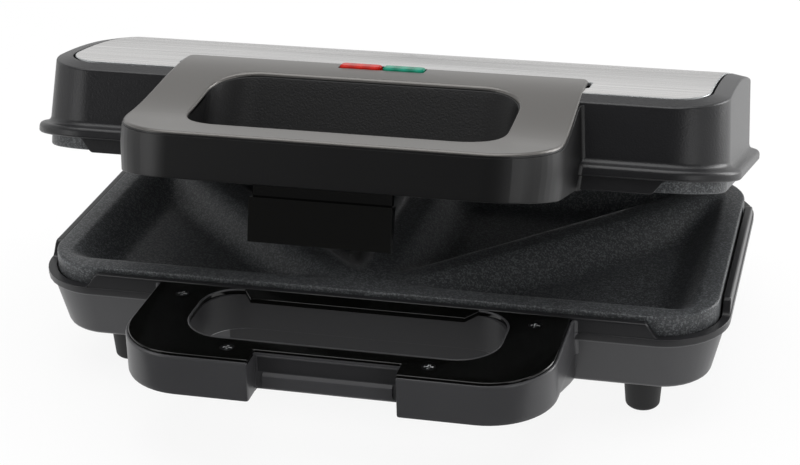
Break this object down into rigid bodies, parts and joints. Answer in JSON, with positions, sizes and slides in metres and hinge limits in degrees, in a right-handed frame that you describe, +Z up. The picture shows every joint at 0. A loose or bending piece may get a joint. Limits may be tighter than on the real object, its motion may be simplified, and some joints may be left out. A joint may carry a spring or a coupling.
{
  "type": "sandwich toaster",
  "caption": "Countertop sandwich toaster with pocketed cooking plates, a hinged lid, loop handles and a latch flap.",
  "frame": {"origin": "on the table, at the middle of the toaster's bounding box in width and depth", "axes": "+X to the right as seen from the front, +Y towards the hinge at the rear, +Z up"},
  "size_m": [0.301, 0.2415, 0.1395],
  "materials": {
    "charcoal_housing": "fine-grained charcoal plastic",
    "base_housing": "smooth semi-matte dark grey plastic",
    "handle_black": "near-black satin plastic",
    "gloss_black": "polished black plastic",
    "deck_grey": "smooth satin grey plastic",
    "nonstick": "cast, with a speckled dark non-stick coating",
    "steel_brushed": "brushed along the width",
    "steel_bright": "plain bright steel",
    "screw_dark": "blackened steel",
    "heater_sheath": "oxidised heater sheath",
    "reflector": "mill finish sheet",
    "rubber_foot": "dark rubber",
    "gland_black": "moulded black",
    "ceramic": "off-white ceramic look",
    "wire_red": "insulated wire",
    "lens_red": "translucent red",
    "lens_green": "translucent green",
    "lamp_glass": "clear glass",
    "holder_white": "heat-proof moulding"
  },
  "bodies": {
    "base": {"base_housing": "base_housing", "lower_handle": "base_housing", "hinge_bracket_left": "charcoal_housing", "hinge_bracket_right": "charcoal_housing", "handle_cover": "gloss_black", "handle_cover_screws": "screw_dark", "lower_plate": "nonstick", "lower_heater": "heater_sheath", "lower_heater_clamps": "steel_bright", "lower_reflector": "reflector", "lower_plate_screws": "steel_bright", "foot_front_left": "rubber_foot", "foot_front_right": "rubber_foot", "foot_rear_left": "rubber_foot", "foot_rear_right": "rubber_foot", "cord_gland": "gland_black", "terminal_block": "ceramic", "base_wiring": "wire_red", "hinge_pin_left": "steel_bright", "hinge_pin_right": "steel_bright"},
    "lid": {"lid_housing": "charcoal_housing", "lid_arm_left": "charcoal_housing", "lid_arm_right": "charcoal_housing", "upper_handle": "handle_black", "steel_cover": "steel_brushed", "lid_deck": "deck_grey", "lid_handle_cover": "gloss_black", "lid_handle_screws": "screw_dark", "upper_plate": "nonstick", "upper_heater": "heater_sheath", "upper_heater_clamps": "steel_bright", "upper_reflector": "reflector", "upper_plate_screws": "steel_bright", "red_lens": "lens_red", "green_lens": "lens_green", "lamp_holder": "holder_white", "red_lamp": "lamp_glass", "green_lamp": "lamp_glass", "thermostat": "ceramic", "thermostat_bracket": "steel_bright", "thermal_fuse": "ceramic", "lid_wiring": "wire_red", "latch_pin": "steel_bright"},
    "latch": {"latch_flap": "gloss_black"}
  },
  "joints": [
    {"name": "lid_hinge", "type": "hinge", "parent": "base", "child": "lid", "pos_m": [0, 0.11175, 0.05795], "axis": [-1, 0, 0], "range_deg": [-17.6, 77.4]},
    {"name": "latch_pivot", "type": "hinge", "parent": "lid", "child": "latch", "pos_m": [0, -0.10327, 0.1239], "axis": [-1, 0, 0], "range_deg": [-6, 25]}
  ]
}
